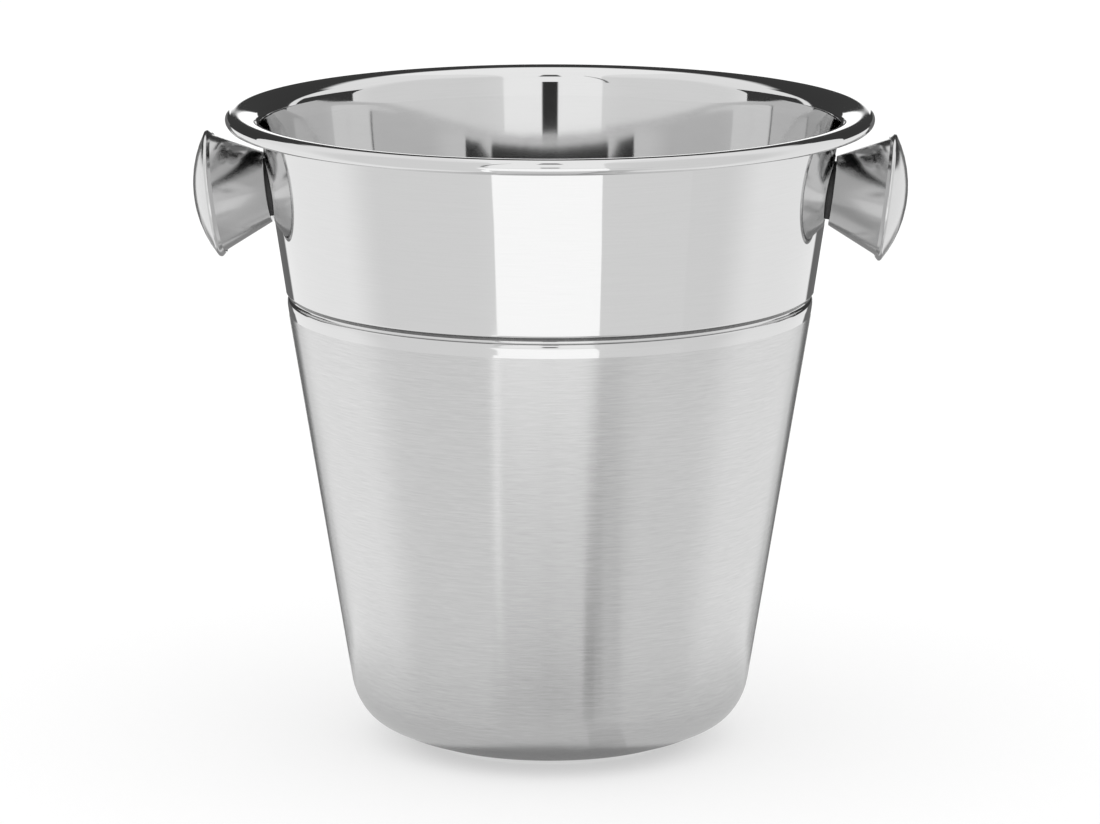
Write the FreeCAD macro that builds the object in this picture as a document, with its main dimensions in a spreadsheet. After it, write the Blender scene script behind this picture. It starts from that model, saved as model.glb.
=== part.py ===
import FreeCAD, Part
import math
import os

import Sketcher

# Single-bottle champagne bucket: a spun steel bucket with a rolled rim, a groove under a
# polished collar, and two trumpet-shaped knobs, each held on by one screw through the wall.
#
# Frame: origin at the centre of the foot on the floor, +Z up, knobs on +X and -X.
# Every knob's sub-parts share the knob's own frame: its origin lies on the outside of the
# wall, and its Z axis points outwards along the knob and leans down by KnobLean.

Vector = FreeCAD.Vector
Placement = FreeCAD.Placement
Rotation = FreeCAD.Rotation

# alias, value in millimetres or degrees, what it is
SIZES = [
    ("ShellSheet", 0.7, "thickness of the bucket's sheet"),
    ("BaseRaise", 2.6, "height of the dished base above the foot"),
    ("BaseFlat", 20.85, "radius of the flat middle of the base"),
    ("BaseStep", 5.0, "radius of both bends of the step down to the foot"),
    ("FootWidth", 3.0, "width of the flat ring that the bucket stands on"),
    ("HeelBend", 57.5, "radius of the wide bend next to the foot"),
    ("HeelTurn", 28.66, "angle of the wide bend"),
    ("CornerBend", 14.1, "radius of the bottom corner"),
    ("CornerTurn", 22.73, "angle of the bottom corner"),
    ("WallFootBend", 20.6, "radius of the bend that leads into the wall"),
    ("WallFootTurn", 29.37, "angle of the bend that leads into the wall"),
    ("WallRun", 127.445, "length of the brushed wall"),
    ("SwellBend", 25.0, "radius of the wide bend at the top of the wall"),
    ("SwellTurn", 5.24, "angle of the wide bend at the top of the wall"),
    ("BeadBend", 5.0, "radius of the bead below the groove"),
    ("BeadTurn", 14.0, "angle of the bead below the groove"),
    ("BeadEdgeBend", 1.0, "radius of the bead's upper edge"),
    ("BeadEdgeTurn", 48.0, "angle of the bead's upper edge"),
    ("GrooveBend", 1.2, "radius of the groove"),
    ("GrooveTurn", 138.93, "angle of the groove"),
    ("LipBend", 0.85, "radius of the collar's lower edge"),
    ("LipTurn", 72.51, "angle of the collar's lower edge"),
    ("CollarRun", 55.07, "length of the polished collar"),
    ("FlareBend", 3.8, "radius of the flare under the rim"),
    ("FlareTurn", 51.58, "angle of the flare under the rim"),
    ("CrownBend", 12.3, "radius of the top of the rim, underside"),
    ("CrownTurn", 35.0, "angle of the top of the rim"),
    ("RollBend", 1.8, "radius of the rolled edge, inside the roll"),
    ("RollTurn", 260.0, "angle of the rolled edge"),
    ("WallHole", 5.5, "diameter of the screw hole in the wall"),
    ("KnobHeight", 186.1, "height of the point where the knob's axis meets the wall"),
    ("KnobLean", 7.0, "angle of the knob's axis below level"),
    ("StemSheet", 0.8, "thickness of the stem's sheet"),
    ("StemStandOff", 0.6, "gap between the wall and the stem's end"),
    ("StemHole", 5.3, "diameter of the screw hole in the stem"),
    ("StemEnd", 8.55, "width of the stem's flat end beside the hole"),
    ("StemEndBend", 0.6, "radius of the stem's narrow edge"),
    ("StemTurn", 64.83, "angle between the stem's end and its side"),
    ("StemRun", 18.73, "length of the stem's side"),
    ("StemLipBend", 0.5, "radius of the bend under the stem's flange"),
    ("StemLip", 0.1, "straight width of the stem's flange"),
    ("CapSheet", 0.5, "thickness of the cap's sheet"),
    ("CapTop", 25.6, "distance from the wall to the top of the cap"),
    ("CapDome", 38.7, "radius of the cap's dome"),
    ("CapDomeTurn", 32.5, "angle of the dome from its middle to its edge"),
    ("CapEdgeBend", 0.9, "radius of the cap's edge"),
    ("CapEdgeTurn", 102.5, "angle of the cap's edge"),
    ("CapSkirt", 1.25, "length of the skirt crimped behind the flange"),
    ("GasketDiameter", 19.4, "outer diameter of the gasket under the stem"),
    ("WasherDiameter", 15.0, "outer diameter of the washer inside the bucket"),
    ("WasherThickness", 1.2, "thickness of the washer in its middle"),
    ("ScrewDiameter", 4.9, "diameter of the screw's shank"),
    ("ScrewLength", 10.0, "length of the screw under its head"),
    ("ScrewTip", 0.6, "bevel at the screw's tip"),
    ("HeadDiameter", 9.5, "diameter of the screw's head"),
    ("HeadHeight", 3.0, "height of the screw's head"),
    ("HeadBend", 2.0, "radius of the head's rounded edge"),
    ("RecessSpan", 4.8, "span of the cross recess"),
    ("RecessWidth", 1.1, "width of one arm of the cross recess"),
    ("RecessDepth", 1.9, "depth of the cross recess"),
    ("NutWidth", 8.0, "width of the nut across its flats"),
    ("NutHeight", 4.0, "height of the nut"),
    ("NutBore", 5.0, "bore of the nut"),
    ("NutBevel", 30.0, "angle of the bevel on the nut's corners"),
    ("Overcut", 5.0, "how far a cutting tool reaches past the piece"),
]

# Both are measured on the shell's own outline: the radius of the wall's outside where a
# knob's axis meets it, and the angle between the collar's side and upright.
WALL_REACH = "ShellOutside.Constraints.Reach / 1 mm"
WALL_LEAN = "(90 - ShellOutside.Constraints.Rise / 1 deg)"

SIDES = {"right": 1, "left": -1}


def make_sheet(doc):
    sheet = doc.addObject("Spreadsheet::Sheet", "Sizes")
    for row, (alias, value, meaning) in enumerate(SIZES, start=1):
        sheet.set(f"A{row}", meaning)
        sheet.set(f"B{row}", str(value))
        sheet.setAlias(f"B{row}", alias)
    doc.recompute()


def bind(thing, **formulas):
    for name, formula in formulas.items():
        thing.setExpression(name, formula)


class Outline:
    """A sketch drawn piece by piece, like a pen that runs straight, bends and turns.

    Pieces are tangent to each other, except after turn(). Every length, radius and angle
    is a formula of sheet cells, and constrains its piece.
    """

    def __init__(self, sketch, start_x, start_y):
        self.sketch = sketch
        self.start = {"DistanceX": start_x, "DistanceY": start_y}
        self.point = Vector(self.value(start_x), self.value(start_y), 0)
        self.heading = 0.0
        self.sharp = False
        self.end = None

    def value(self, formula):
        return float(self.sketch.evalExpression(formula))

    def towards(self, angle):
        radians = math.radians(self.heading + angle)
        return Vector(math.cos(radians), math.sin(radians), 0)

    def constrain(self, *terms, formula=None):
        index = self.sketch.addConstraint(Sketcher.Constraint(*terms))
        if formula:
            self.sketch.setExpression(f"Constraints[{index}]", formula)

    def join(self, piece, tail, head):
        if self.end is None:
            for kind, formula in self.start.items():
                self.constrain(kind, -1, 1, piece, tail, self.value(formula), formula=formula)
        elif self.sharp:
            self.constrain("Coincident", *self.end, piece, tail)
        else:
            self.constrain("Tangent", *self.end, piece, tail)
        self.end = (piece, head)

    def run(self, length):
        end = self.point + self.towards(0) * self.value(length)
        piece = self.sketch.addGeometry(Part.LineSegment(self.point, end))
        if self.end is None or self.sharp:
            self.constrain("Angle", piece, math.radians(self.heading))
        self.join(piece, 1, 2)
        self.constrain("Distance", piece, self.value(length), formula=length)
        self.point = end
        self.sharp = False
        return self

    def bend(self, radius, turn, side):
        """Add an arc that bends left (side 1) or right (side -1)."""
        sweep = self.value(turn)
        centre = self.point + self.towards(90 * side) * self.value(radius)
        circle = Part.Circle(centre, Vector(0, 0, 1), self.value(radius))
        start = math.radians(self.heading - 90 * side)
        finish = start + math.radians(sweep) * side
        arc = Part.ArcOfCircle(circle, min(start, finish), max(start, finish))
        piece = self.sketch.addGeometry(arc)
        if self.end is None:
            self.constrain("PointOnObject", piece, 3, -2)
        self.join(piece, *((1, 2) if side > 0 else (2, 1)))
        self.constrain("Radius", piece, self.value(radius), formula=radius)
        self.constrain("Angle", piece, math.radians(sweep), formula=turn)
        self.heading += sweep * side
        self.point = centre + self.towards(-90 * side) * self.value(radius)
        return self

    def turn(self, angle):
        self.heading += angle
        self.sharp = True
        return self

    def measure(self, height):
        """Measure the last run: Reach, how far it is from the axis at a height, and Rise."""
        last = self.end[0]
        level = Vector(self.point.x, self.value(height), 0)
        mark = self.sketch.addGeometry(Part.Point(level), True)
        self.constrain("PointOnObject", mark, 1, last)
        self.constrain("DistanceY", -1, 1, mark, 1, level.y, formula=height)
        readings = {
            "Reach": ("DistanceX", -1, 1, mark, 1, level.x),
            "Rise": ("Angle", last, math.radians(self.heading)),
        }
        for name, terms in readings.items():
            index = self.sketch.addConstraint(Sketcher.Constraint(*terms))
            self.sketch.setDriving(index, False)
            self.sketch.renameConstraint(index, name)
        return self

    def close(self):
        first = self.sketch.getPoint(0, 1)
        piece = self.sketch.addGeometry(Part.LineSegment(self.point, first))
        self.constrain("Coincident", *self.end, piece, 1)
        self.constrain("Coincident", piece, 2, 0, 1)


def upright_sketch(doc, name):
    sketch = doc.addObject("Sketcher::SketchObject", name)
    sketch.Placement = Placement(Vector(), Rotation(Vector(1, 0, 0), 90))
    return sketch


def turned_sheet(doc, name, sketch, thickness):
    """Turn sheet metal about Z: the sketch is one face, the sheet lies on its left."""
    section = doc.addObject("Part::Offset2D", f"{name}Section")
    section.Source = sketch
    section.Mode = "Skin"
    section.Fill = True
    bind(section, Value=thickness)
    solid = doc.addObject("Part::Revolution", name)
    solid.Source = section
    solid.Axis = Vector(0, 0, 1)
    solid.Angle = 360
    solid.Solid = True
    return solid


def boolean(doc, kind, name, base, tool):
    result = doc.addObject(f"Part::{kind}", name)
    result.Base = base
    result.Tool = tool
    return result


def place_on_wall(thing, side, along="0"):
    """Put a piece on a knob's axis, with its origin at a distance along the axis."""
    thing.Placement = Placement(Vector(), Rotation(Vector(0, side, 0), 90))
    reach = f"{WALL_REACH} + ({along}) * cos(Sizes.KnobLean)"
    thing.setExpression("Placement.Base.x", f"{side} * ({reach})")
    thing.setExpression("Placement.Base.z", f"Sizes.KnobHeight - ({along}) * sin(Sizes.KnobLean)")
    thing.setExpression("Placement.Rotation.Angle", "90 + Sizes.KnobLean")


def rod(doc, name, side, diameter, start, length):
    piece = doc.addObject("Part::Cylinder", name)
    bind(piece, Radius=f"{diameter} / 2", Height=length)
    place_on_wall(piece, side, start)
    return piece


def ring(doc, name, side, diameter, hole, start, end):
    """Flat ring round a knob's axis, from one distance along the axis to another."""
    disc = rod(doc, f"{name}Disc", side, diameter, start, f"{end} - ({start})")
    drill_start = f"{start} - Sizes.Overcut"
    drill_length = f"{end} - ({start}) + 2 * Sizes.Overcut"
    drill = rod(doc, f"{name}Drill", side, hole, drill_start, drill_length)
    return boolean(doc, "Cut", f"{name}Ring", disc, drill)


def wall_cone(doc, name, inset):
    """Solid cone inside the collar's side, smaller than its outside by the inset."""
    half = "Sizes.GasketDiameter"
    reach = f"{WALL_REACH} - ({inset}) / cos({WALL_LEAN})"
    cone = doc.addObject("Part::Cone", name)
    bind(
        cone,
        Height=f"2 * {half}",
        Radius1=f"{reach} - {half} * tan({WALL_LEAN})",
        Radius2=f"{reach} + {half} * tan({WALL_LEAN})",
    )
    cone.setExpression("Placement.Base.z", f"Sizes.KnobHeight - {half}")
    return cone


def make_shell(doc):
    outline = Outline(upright_sketch(doc, "ShellOutside"), "0", "Sizes.BaseRaise")
    outline.run("Sizes.BaseFlat")
    step_turn = "acos(1 - Sizes.BaseRaise / (2 * Sizes.BaseStep))"
    outline.bend("Sizes.BaseStep", step_turn, -1)
    outline.bend("Sizes.BaseStep", step_turn, 1)
    outline.run("Sizes.FootWidth")
    outline.bend("Sizes.HeelBend", "Sizes.HeelTurn", 1)
    outline.bend("Sizes.CornerBend", "Sizes.CornerTurn", 1)
    outline.bend("Sizes.WallFootBend", "Sizes.WallFootTurn", 1)
    outline.run("Sizes.WallRun")
    outline.bend("Sizes.SwellBend", "Sizes.SwellTurn", 1)
    outline.bend("Sizes.BeadBend", "Sizes.BeadTurn", 1)
    outline.bend("Sizes.BeadEdgeBend", "Sizes.BeadEdgeTurn", 1)
    outline.bend("Sizes.GrooveBend", "Sizes.GrooveTurn", -1)
    outline.bend("Sizes.LipBend", "Sizes.LipTurn", 1)
    outline.run("Sizes.CollarRun").measure("Sizes.KnobHeight")
    outline.bend("Sizes.FlareBend", "Sizes.FlareTurn", -1)
    outline.bend("Sizes.CrownBend", "Sizes.CrownTurn", -1)
    outline.bend("Sizes.RollBend", "Sizes.RollTurn", -1)
    shell = turned_sheet(doc, "ShellBlank", outline.sketch, "Sizes.ShellSheet")
    doc.recompute()
    for name, side in SIDES.items():
        start = "-Sizes.Overcut"
        drill = rod(doc, f"WallDrill_{name}", side, "Sizes.WallHole", start, "2 * Sizes.Overcut")
        shell = boolean(doc, "Cut", f"DrilledShell_{name}", shell, drill)
    shell.Label = "bucket_shell"
    return shell


def make_stem(doc, name, side):
    sketch = upright_sketch(doc, f"StemOutside_{name}")
    outline = Outline(sketch, "Sizes.StemHole / 2", "Sizes.StemStandOff")
    outline.run("Sizes.StemEnd")
    outline.bend("Sizes.StemEndBend", "Sizes.StemTurn", 1)
    outline.run("Sizes.StemRun")
    outline.bend("Sizes.StemLipBend", "Sizes.StemTurn", -1)
    outline.run("Sizes.StemLip")
    stem = turned_sheet(doc, f"Stem_{name}", sketch, "Sizes.StemSheet")
    place_on_wall(stem, side)
    stem.Label = f"knob_stem_{name}"
    return stem


def make_cap(doc, name, side):
    sketch = upright_sketch(doc, f"CapOutside_{name}")
    outline = Outline(sketch, "0", "Sizes.CapTop")
    outline.bend("Sizes.CapDome", "Sizes.CapDomeTurn", -1)
    outline.bend("Sizes.CapEdgeBend", "Sizes.CapEdgeTurn", -1)
    outline.run("Sizes.CapSkirt")
    cap = turned_sheet(doc, f"Cap_{name}", sketch, "-Sizes.CapSheet")
    place_on_wall(cap, side)
    cap.Label = f"knob_cap_{name}"
    return cap


def make_gasket(doc, name, side):
    """Rubber ring between stem and wall: flat on the stem, hollowed to fit the wall."""
    blank = ring(
        doc,
        f"Gasket_{name}",
        side,
        "Sizes.GasketDiameter",
        "Sizes.WallHole",
        "-Sizes.Overcut",
        "Sizes.StemStandOff",
    )
    cone = wall_cone(doc, f"GasketSeat_{name}", "0")
    gasket = boolean(doc, "Cut", f"Gasket_{name}", blank, cone)
    gasket.Label = f"gasket_{name}"
    return gasket


def make_washer(doc, name, side):
    """Steel washer inside the bucket: flat under the screw head, curved on the wall."""
    blank = ring(
        doc,
        f"Washer_{name}",
        side,
        "Sizes.WasherDiameter",
        "Sizes.StemHole",
        "-Sizes.ShellSheet - Sizes.WasherThickness",
        "Sizes.Overcut",
    )
    cone = wall_cone(doc, f"WasherSeat_{name}", "Sizes.ShellSheet")
    washer = boolean(doc, "Common", f"Washer_{name}", blank, cone)
    washer.Label = f"washer_{name}"
    return washer


def make_nut(doc, name, side):
    """Hexagon weld nut on the inside of the stem's end, bevelled on its free face."""
    seat = "Sizes.StemStandOff + Sizes.StemSheet"
    prism = doc.addObject("Part::Prism", f"NutPrism_{name}")
    prism.Polygon = 6
    bind(prism, Circumradius="Sizes.NutWidth / 2 / cos(30)", Height="Sizes.NutHeight")
    place_on_wall(prism, side, seat)
    bevel = doc.addObject("Part::Cone", f"NutBevel_{name}")
    bind(
        bevel,
        Height="Sizes.NutHeight",
        Radius1="Sizes.NutWidth / 2 + Sizes.NutHeight / tan(Sizes.NutBevel)",
        Radius2="Sizes.NutWidth / 2",
    )
    place_on_wall(bevel, side, seat)
    blank = boolean(doc, "Common", f"NutBlank_{name}", prism, bevel)
    bore_length = "Sizes.NutHeight + Sizes.Overcut"
    bore = rod(doc, f"NutDrill_{name}", side, "Sizes.NutBore", seat, bore_length)
    nut = boolean(doc, "Cut", f"Nut_{name}", blank, bore)
    nut.Label = f"weld_nut_{name}"
    return nut


def make_screw(doc, name, side):
    """Pan-head screw: origin under its head, shank along +Z, cross recess in the head."""
    body = doc.addObject("PartDesign::Body", f"Screw_{name}")
    plane = next(f for f in body.Origin.OriginFeatures if f.Role == "XZ_Plane")
    sketch = body.newObject("Sketcher::SketchObject", f"ScrewSection_{name}")
    sketch.AttachmentSupport = (plane, [""])
    sketch.MapMode = "FlatFace"
    outline = Outline(sketch, "0", "-Sizes.HeadHeight")
    outline.run("Sizes.HeadDiameter / 2 - Sizes.HeadBend")
    outline.bend("Sizes.HeadBend", "90", 1)
    outline.run("Sizes.HeadHeight - Sizes.HeadBend")
    outline.turn(90).run("(Sizes.HeadDiameter - Sizes.ScrewDiameter) / 2")
    outline.turn(-90).run("Sizes.ScrewLength - Sizes.ScrewTip")
    outline.turn(45).run("Sizes.ScrewTip * sqrt(2)")
    outline.turn(45).run("Sizes.ScrewDiameter / 2 - Sizes.ScrewTip")
    outline.close()
    turning = body.newObject("PartDesign::Revolution", f"ScrewTurning_{name}")
    turning.Profile = sketch
    turning.ReferenceAxis = (sketch, ["V_Axis"])
    turning.Angle = 360
    for number, spans in enumerate((("Span", "Width"), ("Width", "Span")), start=1):
        length, width = (f"Sizes.Recess{span}" for span in spans)
        slot = body.newObject("PartDesign::SubtractiveBox", f"ScrewSlot{number}_{name}")
        bind(slot, Length=length, Width=width, Height="Sizes.RecessDepth")
        slot.setExpression("Placement.Base.x", f"-{length} / 2")
        slot.setExpression("Placement.Base.y", f"-{width} / 2")
        slot.setExpression("Placement.Base.z", "-Sizes.HeadHeight")
    place_on_wall(body, side, "-Sizes.ShellSheet - Sizes.WasherThickness")
    body.Label = f"clamp_screw_{name}"
    return body


def check(doc, subparts):
    for thing in doc.Objects:
        if {"Invalid", "Error"} & set(thing.State):
            raise RuntimeError(f"{thing.Name} did not recompute: {thing.State}")
    for subpart in subparts:
        shape = subpart.Shape
        if shape.isNull() or not shape.isValid() or len(shape.Solids) != 1:
            raise RuntimeError(f"{subpart.Label} is not one valid solid")


def main():
    doc = FreeCAD.newDocument("ChampagneBucket")
    make_sheet(doc)
    subparts = [make_shell(doc)]
    for name, side in SIDES.items():
        for make in (make_stem, make_cap, make_gasket, make_washer, make_nut, make_screw):
            subparts.append(make(doc, name, side))
    doc.recompute()
    check(doc, subparts)
    os.makedirs("parts", exist_ok=True)
    for subpart in subparts:
        subpart.Shape.exportStep(f"parts/{subpart.Label}.step")
        box = subpart.Shape.BoundBox
        print(f"{subpart.Label}: {subpart.Shape.Volume / 1000:.2f} cm3, {box}")


main()
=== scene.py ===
import math

import bpy
from mathutils import Matrix, Vector


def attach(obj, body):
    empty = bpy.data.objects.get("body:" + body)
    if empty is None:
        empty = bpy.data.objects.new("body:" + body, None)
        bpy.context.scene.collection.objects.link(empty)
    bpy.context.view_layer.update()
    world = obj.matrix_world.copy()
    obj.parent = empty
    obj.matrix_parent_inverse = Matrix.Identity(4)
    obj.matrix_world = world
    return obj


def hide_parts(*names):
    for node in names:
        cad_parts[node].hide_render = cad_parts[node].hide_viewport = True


# Champagne bucket. The bucket and its two knobs are turned again here as smooth, finely
# divided sheet metal of the frame's own sizes, because a polish shows every facet. The
# gaskets, washers, nuts and screws are the frame's own pieces with better materials.
# Lengths are in metres and angles in degrees, unless a comment says otherwise.

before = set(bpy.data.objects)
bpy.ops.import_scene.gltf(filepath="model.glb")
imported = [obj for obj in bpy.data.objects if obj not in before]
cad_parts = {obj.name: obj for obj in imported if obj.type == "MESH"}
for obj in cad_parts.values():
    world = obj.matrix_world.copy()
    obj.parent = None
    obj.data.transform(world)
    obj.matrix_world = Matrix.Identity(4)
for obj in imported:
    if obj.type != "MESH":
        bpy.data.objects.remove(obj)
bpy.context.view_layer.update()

MM = 0.001
ON_AXIS = 1e-9
SIDES = {"right": 1, "left": -1}

# ---------------------------------------------------------------- turned sheet metal

FINEST_TURN = 6.0
SHELL_SEGMENTS = 288
KNOB_SEGMENTS = 192


class Outline:
    """One face of turned sheet metal, drawn like a pen that runs straight and bends."""

    def __init__(self, reach, height):
        self.reach = reach
        self.height = height
        self.heading = 0.0
        self.marks = [(reach, height, 0.0)]

    def step(self, length, heading):
        self.reach += math.cos(math.radians(heading)) * length
        self.height += math.sin(math.radians(heading)) * length
        self.marks.append((self.reach, self.height, math.radians(self.heading)))

    def run(self, length, steps):
        for _ in range(steps):
            self.step(length / steps, self.heading)

    def bend(self, radius, turn, side):
        """Follow an arc that bends to one side, LEFT or RIGHT."""
        steps = max(2, math.ceil(turn / FINEST_TURN))
        half_step = turn / steps / 2
        chord = 2 * radius * math.sin(math.radians(half_step))
        for _ in range(steps):
            middle = self.heading + half_step * side
            self.heading += 2 * half_step * side
            self.step(chord, middle)


# How high the base is above the foot ring and the radius of its two bends, in mm.
BASE_RAISE = 2.6
BASE_STEP = 5.0
BASE_STEP_TURN = math.degrees(math.acos(1 - BASE_RAISE / (2 * BASE_STEP)))

RUN = 0
LEFT = 1
RIGHT = -1

# What each step is, how the pen goes, the length of a run or radius of a bend in mm, and the
# number of pieces that a run has or the angle that a bend turns through.
SHELL_STEPS = [
    ("flat of the base", RUN, 20.85, 6),
    ("base bends down", RIGHT, BASE_STEP, BASE_STEP_TURN),
    ("base bends level", LEFT, BASE_STEP, BASE_STEP_TURN),
    ("foot ring", RUN, 3.0, 1),
    ("heel", LEFT, 57.5, 28.66),
    ("corner", LEFT, 14.1, 22.73),
    ("foot of the wall", LEFT, 20.6, 29.37),
    ("brushed wall", RUN, 127.045, 8),
    ("wall's polished edge", RUN, 0.4, 1),
    ("swell", LEFT, 25.0, 5.24),
    ("bead", LEFT, 5.0, 14.0),
    ("bead's upper edge", LEFT, 1.0, 48.0),
    ("groove", RIGHT, 1.2, 138.93),
    ("lip over the groove", LEFT, 0.85, 72.51),
    ("collar", RUN, 55.07, 12),
    ("flare", RIGHT, 3.8, 51.58),
    ("crown of the rim", RIGHT, 12.3, 35.0),
    ("roll of the rim", RIGHT, 1.8, 260.0),
]
STEM_STEPS = [
    ("end", RUN, 8.55, 1),
    ("end's edge", LEFT, 0.6, 64.83),
    ("trumpet", RUN, 18.73, 3),
    ("flange bends level", RIGHT, 0.5, 64.83),
    ("flange", RUN, 0.1, 1),
]
CAP_STEPS = [
    ("dome", RIGHT, 38.7, 32.5),
    ("crimp", RIGHT, 0.9, 102.5),
    ("crimp's edge", RUN, 1.25, 1),
]

# Where each outline starts, as reach and height in mm.
SHELL_START = (0.0, BASE_RAISE)
STEM_START = (2.65, 0.6)
CAP_START = (0.0, 25.6)

SHELL_SHEET = 0.7 * MM
STEM_SHEET = 0.8 * MM
CAP_SHEET = 0.5 * MM


def draw(start, steps):
    """The outline that starts at a place and follows named steps."""
    reach, height = start
    outline = Outline(reach * MM, height * MM)
    for _, way, size, amount in steps:
        if way == RUN:
            outline.run(size * MM, amount)
        else:
            outline.bend(size * MM, amount, way)
    return outline


def section(outline, thickness):
    """Marks round the sheet's whole section, anticlockwise: reach, height, normal's angle.

    The sheet lies on the left of its outline, or on the right if the thickness is negative.
    Two marks at one place make a sharp edge.
    """
    side = math.copysign(1, thickness)
    quarter = side * math.pi / 2
    near = [(r, z, heading - quarter) for r, z, heading in outline.marks]
    far = [
        (r - thickness * math.sin(heading), z + thickness * math.cos(heading), heading + quarter)
        for r, z, heading in reversed(outline.marks)
    ]
    first, last = outline.marks[0], outline.marks[-1]
    marks = near + [(*near[-1][:2], last[2]), (*far[0][:2], last[2])] + far
    if first[0] > ON_AXIS:
        away = first[2] + math.pi
        marks += [(*far[-1][:2], away), (*near[0][:2], away), near[0]]
    return marks if side > 0 else marks[::-1]


def bulge(marks, low, high, depth):
    """The same marks, with the face towards the axis pushed out a little between two heights."""
    bent = []
    for r, z, facing in marks:
        if math.cos(facing) < 0 and low < z < high:
            turn = math.pi * (z - low) / (high - low)
            r += depth * math.sin(turn)
            facing -= math.atan(depth * math.pi / (high - low) * math.cos(turn))
        bent.append((r, z, facing))
    return bent


def same_place(one, other):
    return math.dist(one[:2], other[:2]) < ON_AXIS


def turned(name, marks, segments, place):
    """Turn a section about Z, then place it: one closed mesh whose corners keep exact normals."""
    closed = same_place(marks[0], marks[-1])
    angles = [math.tau * i / segments for i in range(segments)]
    turns = [(math.cos(a), math.sin(a)) for a in angles]
    points, rows = [], []
    for number, mark in enumerate(marks):
        if number and same_place(mark, marks[number - 1]):
            rows.append(rows[-1])
            continue
        if closed and number == len(marks) - 1:
            rows.append(rows[0])
            continue
        reach, height = mark[:2]
        start = len(points)
        if reach < ON_AXIS:
            points.append((0.0, 0.0, height))
            rows.append([start] * segments)
        else:
            points.extend((reach * c, reach * s, height) for c, s in turns)
            rows.append(list(range(start, start + segments)))
    faces, normals = [], []
    for low, high, here, there in zip(rows, rows[1:], marks, marks[1:]):
        if low is high:
            continue
        for i in range(segments):
            j = (i + 1) % segments
            corners = [(low[i], i, here), (low[j], j, here)]
            corners += [(high[j], j, there), (high[i], i, there)]
            if low[i] == low[j]:
                corners.pop(1)
            if high[i] == high[j]:
                corners.pop()
            faces.append([corner[0] for corner in corners])
            for _, k, (_, _, facing) in corners:
                level, up = math.cos(facing), math.sin(facing)
                normals.append((level * turns[k][0], level * turns[k][1], up))
    mesh = bpy.data.meshes.new(name)
    mesh.from_pydata([place @ Vector(point) for point in points], [], faces)
    mesh.polygons.foreach_set("use_smooth", [True] * len(faces))
    turn = place.to_3x3()
    mesh.normals_split_custom_set([turn @ Vector(normal) for normal in normals])
    piece = bpy.data.objects.new(name, mesh)
    bpy.context.scene.collection.objects.link(piece)
    return piece


# ---------------------------------------------------------------- the pieces

KNOB_HEIGHT = 186.1 * MM
KNOB_LEAN = 7.0
COLLAR_LOW = 151.5 * MM
COLLAR_HIGH = 207.5 * MM
COLLAR_BULGE = 0.4 * MM


def wall_reach(outline, height):
    """How far the outside of the wall is from the axis at a height."""
    for (r0, z0, _), (r1, z1, _) in zip(outline.marks, outline.marks[1:]):
        if z0 <= height <= z1:
            return r0 + (r1 - r0) * (height - z0) / (z1 - z0)
    raise ValueError("no wall at that height")


def make_shell(outline):
    marks = bulge(section(outline, SHELL_SHEET), COLLAR_LOW, COLLAR_HIGH, COLLAR_BULGE)
    shell = turned("shell", marks, SHELL_SEGMENTS, Matrix.Identity(4))
    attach(shell, "root")
    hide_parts("bucket_shell")
    return shell


def make_knob(side_name):
    side = SIDES[side_name]
    turn = Matrix.Rotation(math.radians(90 + KNOB_LEAN), 4, Vector((0, side, 0)))
    place = Matrix.Translation((side * KNOB_REACH, 0, KNOB_HEIGHT)) @ turn
    pieces = {
        "knob_stem": section(draw(STEM_START, STEM_STEPS), STEM_SHEET),
        "knob_cap": section(draw(CAP_START, CAP_STEPS), -CAP_SHEET),
    }
    for node, marks in pieces.items():
        piece = turned(f"{node}_{side_name}_turned", marks, KNOB_SEGMENTS, place)
        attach(piece, "root")
        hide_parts(f"{node}_{side_name}")


shell_outline = draw(SHELL_START, SHELL_STEPS)
KNOB_REACH = wall_reach(shell_outline, KNOB_HEIGHT)
shell = make_shell(shell_outline)
for side_name in SIDES:
    make_knob(side_name)

# ---------------------------------------------------------------- node graphs


class Graph:
    """Short calls that add nodes to a tree and join them up."""

    def __init__(self, tree):
        self.tree = tree
        tree.nodes.clear()

    def feed(self, socket, value):
        if isinstance(value, bpy.types.NodeSocket):
            self.tree.links.new(value, socket)
        else:
            socket.default_value = value

    def node(self, kind, settings=None, **inputs):
        made = self.tree.nodes.new(kind)
        for name, value in (settings or {}).items():
            setattr(made, name, value)
        for name, value in inputs.items():
            self.feed(made.inputs[name.replace("_", " ")], value)
        return made

    def math(self, operation, *values):
        made = self.tree.nodes.new("ShaderNodeMath")
        made.operation = operation
        for socket, value in zip(made.inputs, values):
            self.feed(socket, value)
        return made.outputs[0]

    def blend(self, share, low, high):
        """Low where share is 0, high where share is 1."""
        made = self.node("ShaderNodeMapRange", Value=share)
        self.feed(made.inputs["To Min"], low)
        self.feed(made.inputs["To Max"], high)
        return made.outputs[0]

    def rise(self, value, start, end):
        """A smooth step from 0 at start to 1 at end."""
        made = self.node("ShaderNodeMapRange", {"interpolation_type": "SMOOTHSTEP"}, Value=value)
        made.inputs["From Min"].default_value = start
        made.inputs["From Max"].default_value = end
        return made.outputs[0]

    def grey(self, value):
        made = self.node("ShaderNodeCombineColor", Red=value, Green=value, Blue=value)
        return made.outputs[0]


# ---------------------------------------------------------------- materials

LEAST_REACH = 0.1 * MM
ACROSS_THE_LINES = 0.25


def bucket_place(graph):
    return graph.node("ShaderNodeTexCoord").outputs["Object"]


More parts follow.
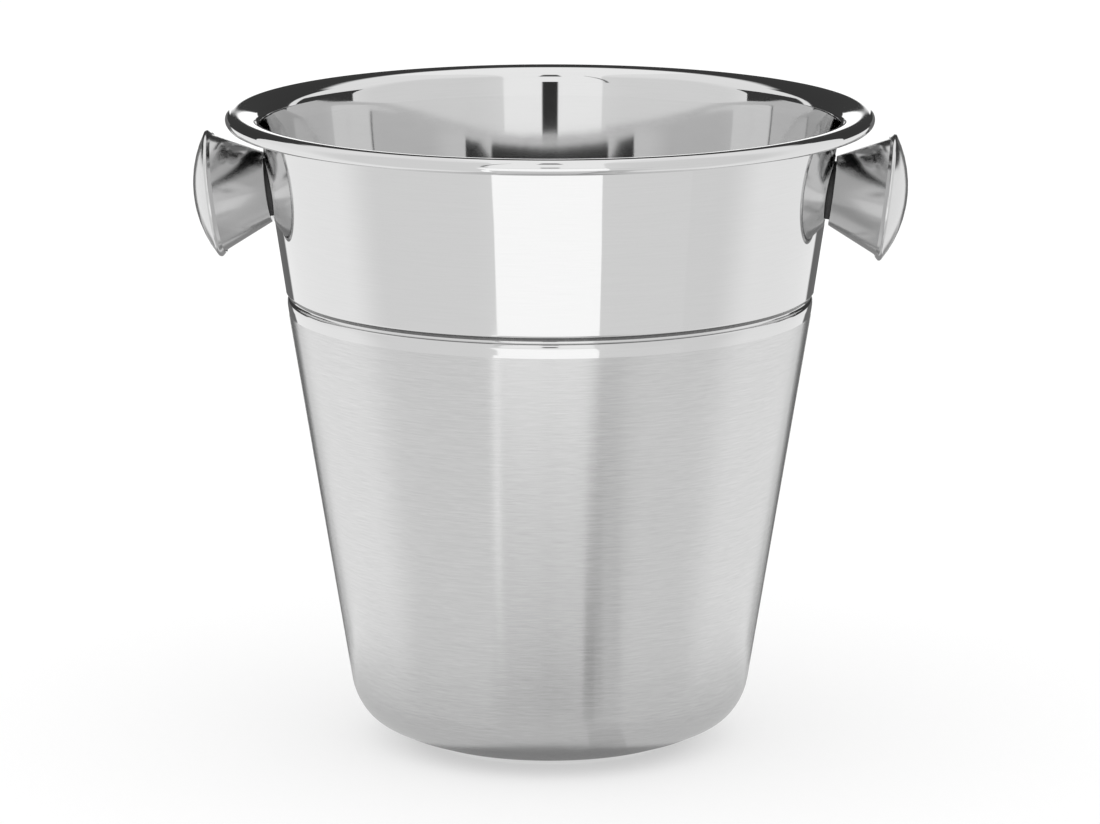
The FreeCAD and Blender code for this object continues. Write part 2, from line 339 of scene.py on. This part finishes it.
def knob_place(graph):
    """A place in the knob's own frame, which is the same for both knobs."""
    split = graph.node("ShaderNodeSeparateXYZ", Vector=bucket_place(graph))
    x, y, z = split.outputs
    right = graph.node("ShaderNodeCombineXYZ", X=graph.math("ABSOLUTE", x), Y=y, Z=z)
    made = graph.node("ShaderNodeMapping", {"vector_type": "TEXTURE"}, Vector=right.outputs[0])
    made.inputs["Location"].default_value = (KNOB_REACH, 0.0, KNOB_HEIGHT)
    made.inputs["Rotation"].default_value = (0.0, math.radians(90 + KNOB_LEAN), 0.0)
    return made.outputs[0]


def around_axis(graph, place, lengthwise, crosswise):
    """Coordinates that follow the turning: few features round the axis, many along the wall."""
    split = graph.node("ShaderNodeSeparateXYZ", Vector=place)
    x, y, z = split.outputs
    squares = graph.math("ADD", graph.math("MULTIPLY", x, x), graph.math("MULTIPLY", y, y))
    reach = graph.math("SQRT", squares)
    safe = graph.math("MAXIMUM", reach, LEAST_REACH)
    along = graph.math("ADD", z, reach)
    made = graph.node(
        "ShaderNodeCombineXYZ",
        X=graph.math("MULTIPLY", graph.math("DIVIDE", x, safe), lengthwise),
        Y=graph.math("MULTIPLY", graph.math("DIVIDE", y, safe), lengthwise),
        Z=graph.math("MULTIPLY", along, crosswise),
    )
    return made.outputs[0]


def noise(graph, where, scale, detail):
    return graph.node("ShaderNodeTexNoise", Vector=where, Scale=scale, Detail=detail).outputs[0]


def around_noise(graph, place, lengthwise, crosswise, detail):
    return noise(graph, around_axis(graph, place, lengthwise, crosswise), 1.0, detail)


def new_material(name):
    material = bpy.data.materials.new(name)
    material.use_nodes = True
    graph = Graph(material.node_tree)
    shader = graph.node("ShaderNodeBsdfPrincipled")
    output = graph.node("ShaderNodeOutputMaterial")
    graph.feed(output.inputs["Surface"], shader.outputs[0])
    return material, graph, shader


def bump(graph, shader, height, distance):
    made = graph.node("ShaderNodeBump", Height=height, Distance=distance)
    graph.feed(shader.inputs["Normal"], made.outputs[0])


def turned_grain(graph, shader, strength):
    """Gloss that is drawn out across the lines left by turning."""
    shader.inputs["Anisotropic"].default_value = strength
    shader.inputs["Anisotropic Rotation"].default_value = ACROSS_THE_LINES
    tangent = graph.node("ShaderNodeTangent", {"direction_type": "RADIAL", "axis": "Z"})
    graph.feed(shader.inputs["Tangent"], tangent.outputs[0])


def polished_steel(name, tone, wave, gloss, grain=0.0, find_place=bucket_place):
    """Mirror polish: faint polishing lines, smears, and a slow waviness of the sheet."""
    material, graph, shader = new_material(name)
    place = find_place(graph)
    lines = around_noise(graph, place, lengthwise=6.0, crosswise=2600.0, detail=3.0)
    smears = noise(graph, place, scale=28.0, detail=4.0)
    slow = around_noise(graph, place, lengthwise=2.5, crosswise=26.0, detail=1.0)
    shader.inputs["Metallic"].default_value = 1.0
    spread = 0.02
    colour = graph.blend(lines, tone - spread, tone + spread)
    graph.feed(shader.inputs["Base Color"], graph.grey(colour))
    wear = graph.math("MULTIPLY", graph.rise(smears, start=0.45, end=0.75), lines)
    graph.feed(shader.inputs["Roughness"], graph.blend(wear, *gloss))
    bump(graph, shader, slow, wave)
    if grain:
        turned_grain(graph, shader, grain)
    return material


def brushed_steel(name, tone):
    """Steel brushed round the axis: streaks of differing depth and length."""
    material, graph, shader = new_material(name)
    place = bucket_place(graph)
    fine = around_noise(graph, place, lengthwise=20.0, crosswise=4600.0, detail=2.0)
    coarse = around_noise(graph, place, lengthwise=7.0, crosswise=2300.0, detail=2.0)
    clouds = around_noise(graph, place, lengthwise=2.0, crosswise=30.0, detail=2.0)
    streaks = graph.math("MULTIPLY", graph.math("ADD", fine, coarse), 0.5)
    shader.inputs["Metallic"].default_value = 1.0
    turned_grain(graph, shader, 1.0)
    spread = 0.13
    colour = graph.blend(streaks, tone - spread, tone + spread)
    graph.feed(shader.inputs["Base Color"], graph.grey(colour))
    cloud_share = 0.4
    from_streaks = graph.math("MULTIPLY", streaks, 1 - cloud_share)
    depth = graph.math("ADD", from_streaks, graph.math("MULTIPLY", clouds, cloud_share))
    graph.feed(shader.inputs["Roughness"], graph.blend(depth, low=0.14, high=0.32))
    bump(graph, shader, streaks, 0.02 * MM)
    return material


def grainy(name, metallic, scale, detail, colour, roughness, depth):
    """A surface with one fine grain in its colour, its roughness and its height."""
    material, graph, shader = new_material(name)
    grain = noise(graph, bucket_place(graph), scale, detail)
    shader.inputs["Metallic"].default_value = metallic
    graph.feed(shader.inputs["Base Color"], graph.grey(graph.blend(grain, *colour)))
    graph.feed(shader.inputs["Roughness"], graph.blend(grain, *roughness))
    bump(graph, shader, grain, depth)
    return material


def rubber(name):
    return grainy(
        name, metallic=0.0, scale=1800.0, detail=3.0,
        colour=(0.04, 0.09), roughness=(0.55, 0.8), depth=0.03 * MM,
    )


def machined_steel(name, tone):
    spread = 0.06
    return grainy(
        name, metallic=1.0, scale=900.0, detail=4.0,
        colour=(tone - spread, tone + spread), roughness=(0.16, 0.34), depth=0.01 * MM,
    )


KNOB_WAVE = 0.02 * MM
POLISHED = polished_steel("polished_steel", 0.70, 0.05 * MM, gloss=(0.035, 0.12))
BRUSHED = brushed_steel("brushed_steel", 0.66)
SATIN = polished_steel("inside_steel", 0.69, 0.06 * MM, gloss=(0.045, 0.11), grain=0.6)
# The groove's steel is very dark, tone 0.17: painted shade in the groove.
SHADED_GROOVE = machined_steel("groove_painted_shade", 0.17)
CHROME = polished_steel("cap_polish", 0.66, KNOB_WAVE, gloss=(0.15, 0.24), find_place=knob_place)
# The stem's steel is darker than the cap's, 0.58 against 0.66: painted shade on the stem.
STEM = polished_steel("stem_shaded_polish", 0.58, KNOB_WAVE, gloss=(0.17, 0.26), find_place=knob_place)
RUBBER = rubber("black_rubber")
MACHINED = machined_steel("machined_steel", 0.6)
SHELL_FINISHES = [POLISHED, BRUSHED, SHADED_GROOVE, SATIN]

BRUSH_BOTTOM = 0.3 * MM
BRUSH_TOP = 145.7 * MM
# The band of painted shade in the groove lies between two heights.
GROOVE_SHADE_LOW = 150.9 * MM
GROOVE_SHADE_HIGH = 152.2 * MM


def finish_shell(piece):
    """Brushed on the wall's outside, painted shade on rough steel in the groove, satin inside,
    polished elsewhere.
    """
    mesh = piece.data
    for material in SHELL_FINISHES:
        mesh.materials.append(material)
    for face in mesh.polygons:
        outward = face.normal.x * face.center.x + face.normal.y * face.center.y > 0
        low, high = (pick(mesh.vertices[v].co.z for v in face.vertices) for pick in (min, max))
        if outward and low > BRUSH_BOTTOM and high < BRUSH_TOP:
            face.material_index = SHELL_FINISHES.index(BRUSHED)
        if outward and low > GROOVE_SHADE_LOW and high < GROOVE_SHADE_HIGH:
            face.material_index = SHELL_FINISHES.index(SHADED_GROOVE)
        if not outward and high < COLLAR_HIGH:
            face.material_index = SHELL_FINISHES.index(SATIN)


def dress(piece, material):
    for slot in piece.material_slots:
        slot.link = "OBJECT"
        slot.material = material
    if not piece.material_slots:
        piece.data.materials.append(material)


finish_shell(shell)
for side_name in SIDES:
    dress(bpy.data.objects[f"knob_stem_{side_name}_turned"], STEM)
    dress(bpy.data.objects[f"knob_cap_{side_name}_turned"], CHROME)
    dress(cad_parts[f"gasket_{side_name}"], RUBBER)
    for node in ("washer", "weld_nut", "clamp_screw"):
        dress(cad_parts[f"{node}_{side_name}"], MACHINED)

# ---------------------------------------------------------------- camera and stage

VIEW_AZIMUTH = 2.2
CAMERA_DISTANCE = 1.8568
CAMERA_HEIGHT = 0.4955
CAMERA_PITCH = 11.72
LENS = 185.56
SENSOR_WIDTH = 36.0


def make_camera():
    data = bpy.data.cameras.new("camera")
    data.lens = LENS
    data.sensor_width = SENSOR_WIDTH
    camera = bpy.data.objects.new("camera", data)
    turn = math.radians(VIEW_AZIMUTH)
    right, back = CAMERA_DISTANCE * math.sin(turn), CAMERA_DISTANCE * math.cos(turn)
    camera.location = (right, -back, CAMERA_HEIGHT)
    camera.rotation_euler = (math.radians(90 - CAMERA_PITCH), 0, turn)
    bpy.context.scene.collection.objects.link(camera)
    bpy.context.scene.camera = camera


# Studio cards as the steel sees them by direction, later ones in front: name, brightness,
# middle azimuth, half width, side softness, lowest and highest elevation, softness there.
# Azimuth 0 is the camera's side and 180 the far side.
OPEN_LIGHT = 1.0
CARDS_BEHIND = [
    ("front sweep", 0.92, 0, 60, 50, -90, 60, 40),
    ("side sweep right", 1.02, 125, 60, 50, -90, 0, 30),
    ("side sweep left", 1.06, -125, 60, 50, -90, 0, 30),
    ("shade right", 0.85, 55, 32, 25, -60, 60, 20),
    ("shade left", 0.87, -55, 32, 25, -60, 60, 20),
    ("low shade right", 0.60, 25, 14, 22, -90, -20, 12),
]
CARDS_IN_FRONT = [
    ("black right", 0.05, 156, 25, 2, 1, 41, 5),
    ("black left", 0.05, -156, 25, 2, 1, 41, 5),
    ("low black right", 0.16, 161.5, 10, 3, -16, 2, 3),
    ("low black left", 0.16, -161.5, 10, 3, -16, 2, 3),
    ("floor behind", 0.32, 180, 31, 6, -90, -17, 4),
    ("far wall", 1.30, 180, 9, 2, -14, 8.5, 1),
    ("stand", 0.20, -23.6, 0.7, 0.4, 9, 66, 1),
    ("camera", 0.04, 0, 3.2, 0.8, 2, 10.5, 2),
    ("boom", 0.10, 0, 6.5, 1.5, 58, 76, 6),
    # The card "underneath" is painted shade straight below the bucket.
    ("underneath", 0.10, 0, 180, 1, -90, -75, 8),
]

# The bright strip light runs from the camera's side over the top. Its half width grows with
# how far a direction points to the front and how far it points up.
STRIP_LIGHT = 1.12
STRIP_FRONT = 0.369
STRIP_ABOVE = 0.225
STRIP_SHIFT = 0.025
STRIP_EDGE = 0.008
STRIP_FADE = (-8.0, 0.0)

# What the camera and the floor see of the world, and the floor itself.
PLAIN_LIGHT = 0.95
SOFT_LIGHT = 1.15
FLOOR_TONE = 0.52
FLOOR_GLOW = 0.46
FLOOR_ROUGHNESS = 0.9
FLOOR_REACH = 12.0
FLOOR_SEGMENTS = 96


def hang_card(graph, azimuth, elevation, light, card):
    _, brightness, middle, half, side_soft, low, high, edge_soft = card
    turn = graph.math("WRAP", graph.math("SUBTRACT", azimuth, middle), 180.0, -180.0)
    share = graph.rise(graph.math("ABSOLUTE", turn), half + side_soft / 2, half - side_soft / 2)
    above = graph.rise(elevation, low - edge_soft / 2, low + edge_soft / 2)
    below = graph.rise(elevation, high + edge_soft / 2, high - edge_soft / 2)
    share = graph.math("MULTIPLY", share, graph.math("MULTIPLY", above, below))
    return graph.blend(share, light, brightness)


def make_world():
    """A studio that only the steel sees in detail; the floor gets the same light from all over."""
    world = bpy.data.worlds.new("studio")
    world.use_nodes = True
    graph = Graph(world.node_tree)
    seen = graph.node("ShaderNodeTexCoord").outputs["Generated"]
    turn = graph.node("ShaderNodeVectorRotate", {"rotation_type": "Z_AXIS"}, Vector=seen)
    turn.inputs["Angle"].default_value = math.radians(-VIEW_AZIMUTH)
    split = graph.node("ShaderNodeSeparateXYZ", Vector=turn.outputs[0])
    x, y, z = split.outputs
    towards = graph.math("MULTIPLY", y, -1.0)
    azimuth = graph.math("DEGREES", graph.math("ARCTAN2", x, towards))
    elevation = graph.math("DEGREES", graph.math("ARCSINE", z))
    light = OPEN_LIGHT
    for card in CARDS_BEHIND:
        light = hang_card(graph, azimuth, elevation, light, card)
    ahead = graph.math("MULTIPLY", graph.math("MAXIMUM", towards, 0.0), STRIP_FRONT)
    above = graph.math("MULTIPLY", graph.math("MAXIMUM", z, 0.0), STRIP_ABOVE)
    squares = graph.math("ADD", graph.math("POWER", ahead, 2.0), graph.math("POWER", above, 2.0))
    half = graph.math("SQRT", squares)
    across = graph.math("ADD", x, graph.math("MULTIPLY", towards, STRIP_SHIFT))
    outside = graph.math("SUBTRACT", graph.math("ABSOLUTE", across), half)
    share = graph.rise(outside, STRIP_EDGE, -STRIP_EDGE)
    share = graph.math("MULTIPLY", share, graph.rise(elevation, *STRIP_FADE))
    light = graph.blend(share, light, STRIP_LIGHT)
    for card in CARDS_IN_FRONT:
        light = hang_card(graph, azimuth, elevation, light, card)
    path = graph.node("ShaderNodeLightPath")
    light = graph.blend(path.outputs["Is Camera Ray"], light, PLAIN_LIGHT)
    light = graph.blend(path.outputs["Is Diffuse Ray"], light, SOFT_LIGHT)
    background = graph.node("ShaderNodeBackground", Color=graph.grey(light), Strength=1.0)
    output = graph.node("ShaderNodeOutputWorld")
    graph.feed(output.inputs["Surface"], background.outputs[0])
    bpy.context.scene.world = world


def stand_card(name, corners, brightness):
    """A lit or black sheet that only the steel sees.

    Its corners are distances from the bucket's foot: right, towards the camera, up.
    """
    turn = Matrix.Rotation(math.radians(VIEW_AZIMUTH), 4, "Z")
    mesh = bpy.data.meshes.new(name)
    points = [turn @ Vector((right, -towards, up)) for right, towards, up in corners]
    mesh.from_pydata(points, [], [range(len(points))])
    card = bpy.data.objects.new(name, mesh)
    bpy.context.scene.collection.objects.link(card)
    material = bpy.data.materials.new(name)
    material.use_nodes = True
    graph = Graph(material.node_tree)
    glow = graph.node("ShaderNodeEmission", Strength=brightness)
    output = graph.node("ShaderNodeOutputMaterial")
    graph.feed(output.inputs["Surface"], glow.outputs[0])
    mesh.materials.append(material)
    card.visible_camera = False
    card.visible_diffuse = False
    card.visible_shadow = False


CARD_SEGMENTS = 64
RING_STEPS = 12
CARD_GAP = 0.1 * MM


def disc(reach, middle=0.0, narrowing=1.0):
    turns = [math.tau * i / CARD_SEGMENTS for i in range(CARD_SEGMENTS)]
    return [(reach * narrowing * math.cos(a), middle + reach * math.sin(a)) for a in turns]


def ring_part(low, high, start, end):
    """Part of a flat ring on the floor, between two distances and two azimuths."""
    angles = [start + (end - start) * i / RING_STEPS for i in range(RING_STEPS + 1)]
    turns = [math.radians(angle) for angle in angles]
    near = [(low * math.sin(a), low * math.cos(a)) for a in turns]
    far = [(high * math.sin(a), high * math.cos(a)) for a in reversed(turns)]
    return near + far


# Corners of the cards that lie on the floor: right of the axis, and towards the camera.
NEAR_RIGHT_EDGE = [
    (0.017, 0.09), (0.030, 0.125), (0.045, 0.155), (0.055, 0.185), (0.064, 0.22),
    (0.081, 0.285), (0.105, 0.35),
]
NEAR_LEFT_EDGE = [(-0.145, 0.35), (-0.113, 0.261), (-0.077, 0.17), (-0.040, 0.09)]
LINE = [
    (-0.145, 0.35), (-0.113, 0.261), (-0.077, 0.17),
    (-0.066, 0.17), (-0.098, 0.261), (-0.127, 0.35),
]
BRIGHT = [
    (-0.117, 0.31), (-0.17, 0.44), (-0.60, 1.30),
    (0.44, 1.30), (0.152, 0.425), (0.109, 0.31),
]
SHADE = [(0.016, 0.08), (0.038, 0.145), (0.050, 0.142), (0.022, 0.079)]
MIDDLE_SHADE = [(0.016, 0.08), (0.063, 0.22), (0.088, 0.21), (0.030, 0.077)]
SIDE_SHADE = [(0.016, 0.08), (0.063, 0.22), (0.118, 0.20), (0.042, 0.073)]
CORNER_SHADE = [(0.009, 0.035), (0.020, 0.083), (0.036, 0.076), (0.020, 0.030)]

# They stand for the floor in reflections, each just above the one before: name, corners,
# brightness. The darker ones are painted shadow and shade of the bucket on the floor.
LYING_CARDS = [
    ("plain_card", ring_part(0.34, 0.62, 16, 55), 0.87),
    ("near_card", NEAR_RIGHT_EDGE + NEAR_LEFT_EDGE, 0.77),
    ("line_card", LINE, 1.35),
    ("bright_card", BRIGHT, 1.32),
    ("wide_shadow_card", disc(0.128), 0.74),
    ("shadow_card", disc(0.068, middle=0.06, narrowing=0.8), 0.40),
    ("side_shade_card", SIDE_SHADE, 0.64),
    ("middle_shade_card", MIDDLE_SHADE, 0.50),
    ("shade_card", SHADE, 0.30),
    ("foot_shade_card", disc(0.105), 0.66),
    ("corner_shade_card", CORNER_SHADE, 0.56),
    ("contact_shadow_card", disc(0.065, narrowing=0.75), 0.28),
]

# A black flag stands on each side, from beside the bucket to behind it.
FLAG_RIGHT = 0.247
FLAG_ENDS = (-0.055, -0.27)
FLAG_LOW = 0.2
FLAG_HIGH = 0.36
FLAG_LIGHT = 0.05


def make_cards():
    for level, (name, corners, brightness) in enumerate(LYING_CARDS, 1):
        up = level * CARD_GAP
        stand_card(name, [(right, towards, up) for right, towards in corners], brightness)
    near, far = FLAG_ENDS
    places = [(near, FLAG_LOW), (far, FLAG_LOW), (far, FLAG_HIGH), (near, FLAG_HIGH)]
    for side_name, side in SIDES.items():
        corners = [(FLAG_RIGHT * side, towards, up) for towards, up in places]
        stand_card(f"flag_{side_name}", corners, FLAG_LIGHT)


def make_floor():
    bpy.ops.mesh.primitive_circle_add(
        vertices=FLOOR_SEGMENTS, radius=FLOOR_REACH, fill_type="NGON"
    )
    floor = bpy.context.object
    floor.name = "floor"
    material, _, shader = new_material("pale_floor")
    shader.inputs["Base Color"].default_value = (*[FLOOR_TONE] * 3, 1.0)
    shader.inputs["Emission Color"].default_value = (1.0, 1.0, 1.0, 1.0)
    shader.inputs["Emission Strength"].default_value = FLOOR_GLOW
    shader.inputs["Roughness"].default_value = FLOOR_ROUGHNESS
    shader.inputs["Specular IOR Level"].default_value = 0.0
    floor.data.materials.append(material)
    floor.visible_glossy = False


make_camera()
make_world()
make_floor()
make_cards()
bpy.context.scene.view_settings.view_transform = "Standard"
